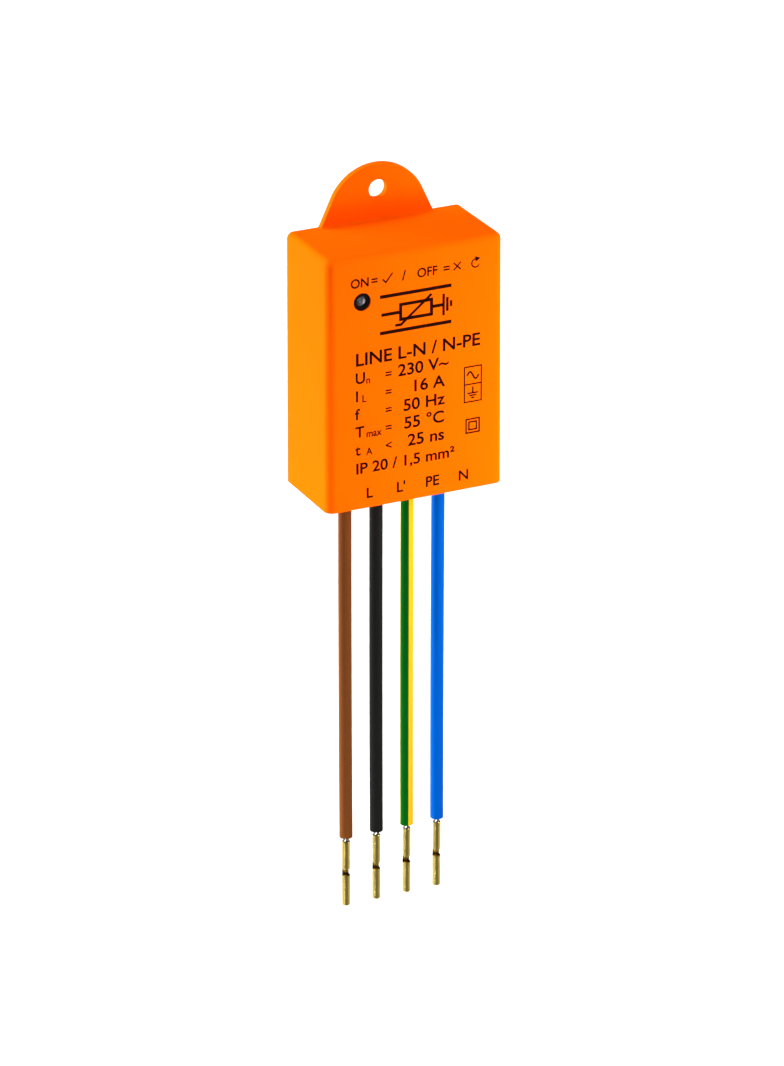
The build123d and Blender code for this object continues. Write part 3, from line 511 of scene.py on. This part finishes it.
class Ink:
    """Collects printed shapes, drawn in x and z on the front, as one thin raised mesh.

    Until they are laid on the front, y is 0 for their backs and 1 for their raised faces.
    """

    def __init__(self, name):
        self.name = name
        self.mesh = bmesh.new()

    def fill(self, outline):
        """A solid shape from an outline of (x, z) points, convex or a four-sided strip."""
        low = [self.mesh.verts.new((x, 0, z)) for x, z in outline]
        face = self.mesh.faces.new(low)
        raised = bmesh.ops.extrude_face_region(self.mesh, geom=[face])["geom"]
        for vertex in raised:
            if isinstance(vertex, bmesh.types.BMVert):
                vertex.co.y = 1

    def stroke(self, points, width, closed=False):
        """A line of even width through the points, mitred at its corners."""
        count = len(points)
        edges = []
        for i, (x, z) in enumerate(points):
            before = points[i - 1] if closed or i else points[i]
            after = points[(i + 1) % count] if closed or i < count - 1 else points[i]
            normals = []
            for (x0, z0), (x1, z1) in ((before, (x, z)), ((x, z), after)):
                length = hypot(x1 - x0, z1 - z0)
                if length > 0:
                    normals.append(((z0 - z1) / length, (x1 - x0) / length))
            nx = sum(n[0] for n in normals) / len(normals)
            nz = sum(n[1] for n in normals) / len(normals)
            reach = width / 2 / (nx * nx + nz * nz)
            edges.append(((x + nx * reach, z + nz * reach), (x - nx * reach, z - nz * reach)))
        for i in range(count if closed else count - 1):
            (a, b), (c, d) = edges[i], edges[(i + 1) % count]
            self.fill([a, c, d, b])

    def box(self, left, right, low, high, width):
        """An upright rectangle drawn with a line."""
        self.stroke([(left, low), (right, low), (right, high), (left, high)], width, closed=True)

    def arc(self, x, z, radius, width, start, turn, steps=48):
        """Part of a circle drawn with a line, angles in degrees from +x."""
        angles = [radians(start + turn * i / steps) for i in range(steps + 1)]
        self.stroke([(x + radius * cos(a), z + radius * sin(a)) for a in angles], width)

    def text(self, words, x, z, height, align="LEFT", squeeze=1.0):
        """Generic lettering: x is its left, middle or right, z its baseline and height a capital's."""
        flat = lettering(words, height, align)
        letters = bmesh.new()
        letters.from_mesh(flat)
        bpy.data.meshes.remove(flat)
        bmesh.ops.remove_doubles(letters, verts=letters.verts, dist=WELD_DISTANCE)
        raised = bmesh.ops.extrude_face_region(letters, geom=list(letters.faces))["geom"]
        top = {item for item in raised if isinstance(item, bmesh.types.BMVert)}
        for vertex in letters.verts:
            vertex.co = (x + vertex.co.x * squeeze, 1 if vertex in top else 0, z + vertex.co.y)
        solid = bpy.data.meshes.new("words")
        letters.to_mesh(solid)
        letters.free()
        self.mesh.from_mesh(solid)
        bpy.data.meshes.remove(solid)

    def print_on(self, plane, material):
        """Lay the shapes on the front and make them one piece of the housing."""
        origin, normal = plane
        for vertex in self.mesh.verts:
            x, raised, z = vertex.co.x * MM, vertex.co.y, vertex.co.z * MM
            y = origin.y - (normal.z * (z - origin.z) + normal.x * (x - origin.x)) / normal.y
            vertex.co = Vector((x, y, z)) + normal * (INK_PROUD if raised > 0.5 else -INK_SUNK)
        bmesh.ops.recalc_face_normals(self.mesh, faces=self.mesh.faces)
        mesh = bpy.data.meshes.new(self.name)
        self.mesh.to_mesh(mesh)
        self.mesh.free()
        mesh.materials.append(material)
        piece = bpy.data.objects.new(self.name, mesh)
        SCENE.collection.objects.link(piece)
        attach(piece, "housing")


BOX_TOP = -7.2                       # heights of the print are taken from here
LEFT_MARGIN = -14.6

LEGEND_Z = BOX_TOP - 5.8
LEGEND_FOOT = LEGEND_Z - 1.1         # the baseline
LEGEND_CAPITAL = 2.15
SLASH_HEIGHT = 2.3
LEGEND_SQUEEZE = 0.95
ON_LEFT, OFF_LEFT = -15.6, 0.2
EQUALS_AFTER_ON, EQUALS_AFTER_OFF = -9.9, 7.3
SLASH_X = -2.9
TICK = [(-8.0, LEGEND_Z - 0.1), (-7.2, LEGEND_Z - 0.95), (-5.6, LEGEND_Z + 1.05)]
TICK_WIDTH = 0.36
CROSS_LEFT, CROSS_RIGHT = 9.0, 10.7
CROSS_RISE = 0.85
CROSS_WIDTH = 0.34
TURN_X = 14.3
TURN_RADIUS = 0.95
TURN_WIDTH = 0.32
TURN_START, TURN_SWEEP = 60, 270     # degrees
TURN_ARROW = [(14.1, LEGEND_Z + 1.6), (15.45, LEGEND_Z + 1.0), (14.3, LEGEND_Z + 0.3)]

BAR_LEFT, BAR_RIGHT = -8.65, 8.5
BAR_TOP, BAR_BOTTOM = BOX_TOP - 9.95, BOX_TOP - 18.3
BAR_WIDTH = 0.8
WIRE_LEFT, WIRE_RIGHT = -8.3, 6.4
WIRE_GAP = 4.0                       # the wires stop this far from the varistor's middle
LINE_WIDTH = 0.75
THIN_LINE_WIDTH = 0.6
VARISTOR_HALF = (3.7, 1.7)
SLANT_LEFT = -5.0
SLANT_CORNER = -3.6
SLANT_LOW, SLANT_HIGH = -2.9, 2.95
PLATE_X = 6.6
PLATE_PITCH = 0.9
PLATE_HALVES = (2.5, 1.6, 0.7)

TITLE = "LINE L-N / N-PE"
TITLE_Z = BOX_TOP - 24.9
TITLE_CAPITAL = 3.0
TITLE_SQUEEZE = 1.07

FIRST_ROW = BOX_TOP - 29.0           # baseline of the first row of ratings
ROW_PITCH = 4.17
ROW_LIFT = 0.1
QUANTITY_CAPITAL = 2.6
INDEX_CAPITAL = 1.75
INDEX_DROP = 0.3
INDEX_SQUEEZE = 0.9
RELATION_X = -6.6
RELATION_CAPITAL = 2.1
VALUE_CAPITAL = 2.8
VALUE_SQUEEZE = 1.08
# Quantity, its index and how far right of the quantity that stands, relation, value and its right end
RATINGS = [
    ("U", "n", 2.6, "=", "230 V~", 7.9),
    ("I", "L", 1.6, "=", "16 A", 6.9),
    ("f", "", 0, "=", "50 Hz", 6.9),
    ("T", "max", 2.6, "=", "55 °C", 6.9),
    ("t", "A", 2.6, "<", "25 ns", 6.9),
]
LAST_ROW = "IP 20 / 1,5 mm²"
LAST_ROW_Z = BOX_TOP - 50.1

FRAME_LEFT, FRAME_RIGHT = 11.7, 15.8
FRAME_HIGH, FRAME_LOW = BOX_TOP - 29.7, BOX_TOP - 37.9
FRAME_WIDTH = 0.32
WAVE_HALF = 1.4
WAVE_RISE = 0.85
WAVE_WIDTH = 0.42
WAVE_STEPS = 24
EARTH_LIFT = 0.1
EARTH_STEM = (1.35, 0.38)            # its length and width
EARTH_HALVES = (1.3, 0.85, 0.4)
EARTH_DROP = 0.15
EARTH_PITCH = 0.55
EARTH_WIDTH = 0.34
SQUARES_Z = BOX_TOP - 43.6
SQUARE_HALVES = (1.6, 0.9)
SQUARE_WIDTH = 0.36

LEAD_LETTERS = ("L", "L'", "PE", "N")
LEAD_LETTERS_Z = BOX_TOP - 56.1
LEAD_LETTERS_CAPITAL = 2.5
LEAD_LETTERS_SHIFT = 0.15


def print_legend(ink):
    """Lamp on means good; lamp off means failed, change the unit."""
    ink.text("ON", ON_LEFT, LEGEND_FOOT, LEGEND_CAPITAL, squeeze=LEGEND_SQUEEZE)
    ink.text("=", EQUALS_AFTER_ON, LEGEND_FOOT, LEGEND_CAPITAL, "CENTER")
    ink.stroke(TICK, TICK_WIDTH)
    ink.text("/", SLASH_X, LEGEND_FOOT, SLASH_HEIGHT, "CENTER")
    ink.text("OFF", OFF_LEFT, LEGEND_FOOT, LEGEND_CAPITAL, squeeze=LEGEND_SQUEEZE)
    ink.text("=", EQUALS_AFTER_OFF, LEGEND_FOOT, LEGEND_CAPITAL, "CENTER")
    for rise in (-CROSS_RISE, CROSS_RISE):
        ink.stroke([(CROSS_LEFT, LEGEND_Z - rise), (CROSS_RIGHT, LEGEND_Z + rise)], CROSS_WIDTH)
    # an arrow turning round: change the unit
    ink.arc(TURN_X, LEGEND_Z, TURN_RADIUS, TURN_WIDTH, TURN_START, TURN_SWEEP)
    ink.fill(TURN_ARROW)


def print_symbol(ink):
    """Two bars, with the circuit symbol of a varistor and an earth between them."""
    middle = (BAR_TOP + BAR_BOTTOM) / 2
    for z in (BAR_TOP, BAR_BOTTOM):
        ink.stroke([(BAR_LEFT, z), (BAR_RIGHT, z)], BAR_WIDTH)
    for start, end in ((WIRE_LEFT, -WIRE_GAP), (WIRE_GAP, WIRE_RIGHT)):
        ink.stroke([(start, middle), (end, middle)], LINE_WIDTH)
    half, rise = VARISTOR_HALF
    ink.box(-half, half, middle - rise, middle + rise, LINE_WIDTH)
    low, high = middle + SLANT_LOW, middle + SLANT_HIGH
    ink.stroke([(SLANT_LEFT, low), (SLANT_CORNER, low), (half, high)], THIN_LINE_WIDTH)
    for step, half in enumerate(PLATE_HALVES):
        x = PLATE_X + PLATE_PITCH * step
        ink.stroke([(x, middle - half), (x, middle + half)], THIN_LINE_WIDTH)


def print_ratings(ink):
    """Generic mains ratings in four columns, and a row for the enclosure and the wire."""
    for i, (quantity, index, index_step, relation, value, right) in enumerate(RATINGS):
        z = FIRST_ROW - ROW_PITCH * i
        ink.text(quantity, LEFT_MARGIN, z, QUANTITY_CAPITAL)
        if index:
            ink.text(
                index, LEFT_MARGIN + index_step, z - INDEX_DROP, INDEX_CAPITAL, squeeze=INDEX_SQUEEZE,
            )
        ink.text(relation, RELATION_X, z + ROW_LIFT, RELATION_CAPITAL, "CENTER")
        ink.text(value, right, z + ROW_LIFT, VALUE_CAPITAL, "RIGHT", VALUE_SQUEEZE)
    ink.text(LAST_ROW, LEFT_MARGIN, LAST_ROW_Z, QUANTITY_CAPITAL, squeeze=VALUE_SQUEEZE)


def print_marks(ink):
    """A framed pair of cells, alternating current over earth, and the double square of class II."""
    middle = (FRAME_HIGH + FRAME_LOW) / 2
    centre = (FRAME_LEFT + FRAME_RIGHT) / 2
    inset = FRAME_WIDTH / 2
    ink.box(FRAME_LEFT, FRAME_RIGHT, FRAME_LOW, FRAME_HIGH, FRAME_WIDTH)
    ink.stroke([(FRAME_LEFT + inset, middle), (FRAME_RIGHT - inset, middle)], FRAME_WIDTH)
    wave = []
    for i in range(WAVE_STEPS + 1):
        turn = i / WAVE_STEPS
        x = centre - WAVE_HALF + 2 * WAVE_HALF * turn
        wave.append((x, (FRAME_HIGH + middle) / 2 + WAVE_RISE * sin(2 * pi * turn)))
    ink.stroke(wave, WAVE_WIDTH)
    earth = (middle + FRAME_LOW) / 2 + EARTH_LIFT
    stem, stem_width = EARTH_STEM
    ink.stroke([(centre, earth + stem), (centre, earth)], stem_width)
    for step, half in enumerate(EARTH_HALVES):
        z = earth - EARTH_DROP - EARTH_PITCH * step
        ink.stroke([(centre - half, z), (centre + half, z)], EARTH_WIDTH)
    for half in SQUARE_HALVES:
        ink.box(centre - half, centre + half, SQUARES_Z - half, SQUARES_Z + half, SQUARE_WIDTH)


def print_title(ink):
    """The two paths that are protected."""
    ink.text(TITLE, LEFT_MARGIN, TITLE_Z, TITLE_CAPITAL, squeeze=TITLE_SQUEEZE)


def print_lead_letters(ink):
    """The usual letters for line, neutral and earth, each over its lead."""
    for word, colour in zip(LEAD_LETTERS, LEAD_COLOURS):
        x = lead_axis(colour).x / MM + LEAD_LETTERS_SHIFT
        ink.text(word, x, LEAD_LETTERS_Z, LEAD_LETTERS_CAPITAL, "CENTER")


def make_print():
    """All the generic printing on the front, one piece for each group."""
    black = finish(
        "ink_black", (0.010, 0.002, 0.0005, 1), roughness=0.55, mottle=0.15, patch=0.0006,
        grain=0.0001, depth=0.000002, Specular_IOR_Level=0.01,
    )
    plane = front_plane()
    groups = (print_legend, print_symbol, print_ratings, print_marks, print_title, print_lead_letters)
    for draw in groups:
        ink = Ink(draw.__name__)
        draw(ink)
        ink.print_on(plane, black)


# ------------------------------------------------------------------ studio
WORLD_BRIGHTNESS = 0.15
FLOOR_HALF = 6.0
FLOOR_DROP = 0.2                     # from the tips of the pins
# Each light's name, place, aim, width and height in metres, power in watts, and beam in degrees
LIGHTS = [
    # the floor behind the object, which is the picture's background, and the object's top
    ("overhead", (0.40, 0.88, 0.40), (0.40, 0.88, -0.37), (1.8, 1.8), 15.5, 60),
    # the left side
    ("left_back", (-0.45, 0.40, -0.05), (0, 0, -0.06), (0.4, 0.5), 2.20, 60),
    # the leads and the pins
    ("left_front", (-0.55, -0.25, -0.23), (0, 0, -0.20), (0.3, 0.2), 0.29, 26),
    # the floor that the right of each pin mirrors
    ("right_floor", (0.55, -0.22, 0.30), (0.55, -0.22, -0.37), (0.2, 0.3), 0.6, 40),
    # the right of the front
    ("right_strip", (0.105, -0.09, -0.072), (0, -0.02, -0.072), (0.05, 0.15), 0.34, 180),
    # the front, from above and from below
    ("front_top", (-0.10, -0.45, 0.22), (0, 0, -0.02), (0.3, 0.3), 0.15, 60),
    ("front_low", (-0.08, -0.45, -0.13), (0.01, -0.02, -0.010), (0.12, 0.12), 0.018, 20),
]


def softbox(name, place_at, aim, size, power, beam):
    """A soft area light, size wide and high, whose beam opens by a number of degrees."""
    data = bpy.data.lights.new(name, "AREA")
    data.shape = "RECTANGLE"
    data.size, data.size_y = size
    data.energy = power
    data.spread = radians(beam)
    light = bpy.data.objects.new(name, data)
    SCENE.collection.objects.link(light)
    light.location = place_at
    light.rotation_euler = (Vector(place_at) - Vector(aim)).to_track_quat("Z", "Y").to_euler()


def make_floor():
    """A pale floor below the hanging leads."""
    level = cad_bounds[0][2] - FLOOR_DROP
    corners = [
        (-FLOOR_HALF, -FLOOR_HALF, level), (FLOOR_HALF, -FLOOR_HALF, level),
        (FLOOR_HALF, FLOOR_HALF, level), (-FLOOR_HALF, FLOOR_HALF, level),
    ]
    mesh = bpy.data.meshes.new("floor")
    mesh.from_pydata(corners, [], [(0, 1, 2, 3)])
    mesh.materials.append(
        finish("floor_pale", (0.9, 0.9, 0.9, 1), roughness=0.8, patch=0.5, mottle=0.01),
    )
    floor = bpy.data.objects.new("floor", mesh)
    SCENE.collection.objects.link(floor)


def make_studio():
    """The floor, a dim white world and soft lights."""
    make_floor()
    world = bpy.data.worlds.new("studio")
    SCENE.world = world
    world.use_nodes = True
    background = world.node_tree.nodes["Background"]
    background.inputs["Color"].default_value = (1, 1, 1, 1)
    background.inputs["Strength"].default_value = WORLD_BRIGHTNESS
    for light in LIGHTS:
        softbox(*light)
    SCENE.view_settings.view_transform = "Standard"


make_camera()
MATERIALS = make_materials()
dress_cad_nodes(MATERIALS)
for lead_colour in LEAD_COLOURS:
    make_lead(lead_colour, MATERIALS)
make_print()
make_studio()

bpy.context.view_layer.update()
